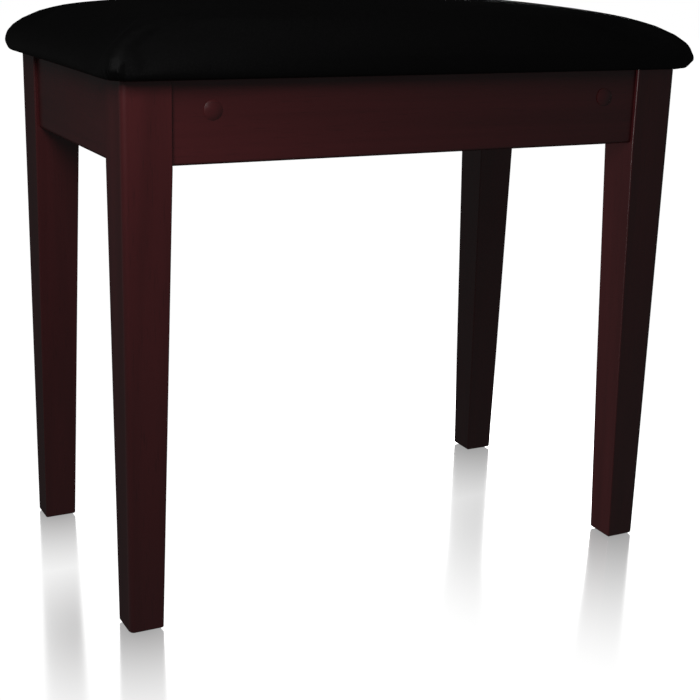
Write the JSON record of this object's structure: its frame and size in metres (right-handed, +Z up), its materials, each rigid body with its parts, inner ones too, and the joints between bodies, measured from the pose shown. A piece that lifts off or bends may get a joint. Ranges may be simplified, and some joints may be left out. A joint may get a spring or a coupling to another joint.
{
  "type": "piano bench",
  "caption": "Small wooden piano bench with tapered square legs, plain aprons with button plugs and a fixed, domed black leatherette seat.",
  "frame": {"origin": "on the floor, under the middle of the bench", "axes": "+Z up, +X along the length to the right as seen from the front, -Y to the front"},
  "size_m": [0.54, 0.315, 0.5005],
  "materials": {
    "mahogany_lacquer": "dark red-brown stain under satin lacquer",
    "bare_beech": "sawn and unfinished",
    "plywood": "unfinished plywood",
    "black_leatherette": "smooth, fine grained, satin",
    "seat_foam": "open cell foam",
    "dust_cloth": "thin non-woven cloth",
    "zinc_steel": "bright zinc plate",
    "staple_wire": "galvanised wire",
    "glide_nylon": "dark brown nylon"
  },
  "bodies": {
    "root": {"apron_front": "mahogany_lacquer", "apron_left": "mahogany_lacquer", "apron_rear": "mahogany_lacquer", "apron_right": "mahogany_lacquer", "apron_screws": "zinc_steel", "bolt_washers": "zinc_steel", "button_plug_front_left": "mahogany_lacquer", "button_plug_front_right": "mahogany_lacquer", "button_plug_rear_left": "mahogany_lacquer", "button_plug_rear_right": "mahogany_lacquer", "corner_block_front_left": "bare_beech", "corner_block_front_right": "bare_beech", "corner_block_rear_left": "bare_beech", "corner_block_rear_right": "bare_beech", "dust_cover": "dust_cloth", "floor_glide_front_left": "glide_nylon", "floor_glide_front_right": "glide_nylon", "floor_glide_rear_left": "glide_nylon", "floor_glide_rear_right": "glide_nylon", "glide_nails": "zinc_steel", "hanger_bolts": "zinc_steel", "leg_front_left": "mahogany_lacquer", "leg_front_right": "mahogany_lacquer", "leg_rear_left": "mahogany_lacquer", "leg_rear_right": "mahogany_lacquer", "seat_board": "plywood", "seat_cover": "black_leatherette", "seat_foam": "seat_foam", "seat_screws": "zinc_steel", "side_screws": "zinc_steel", "staples": "staple_wire", "wing_nuts": "zinc_steel"}
  },
  "joints": []
}
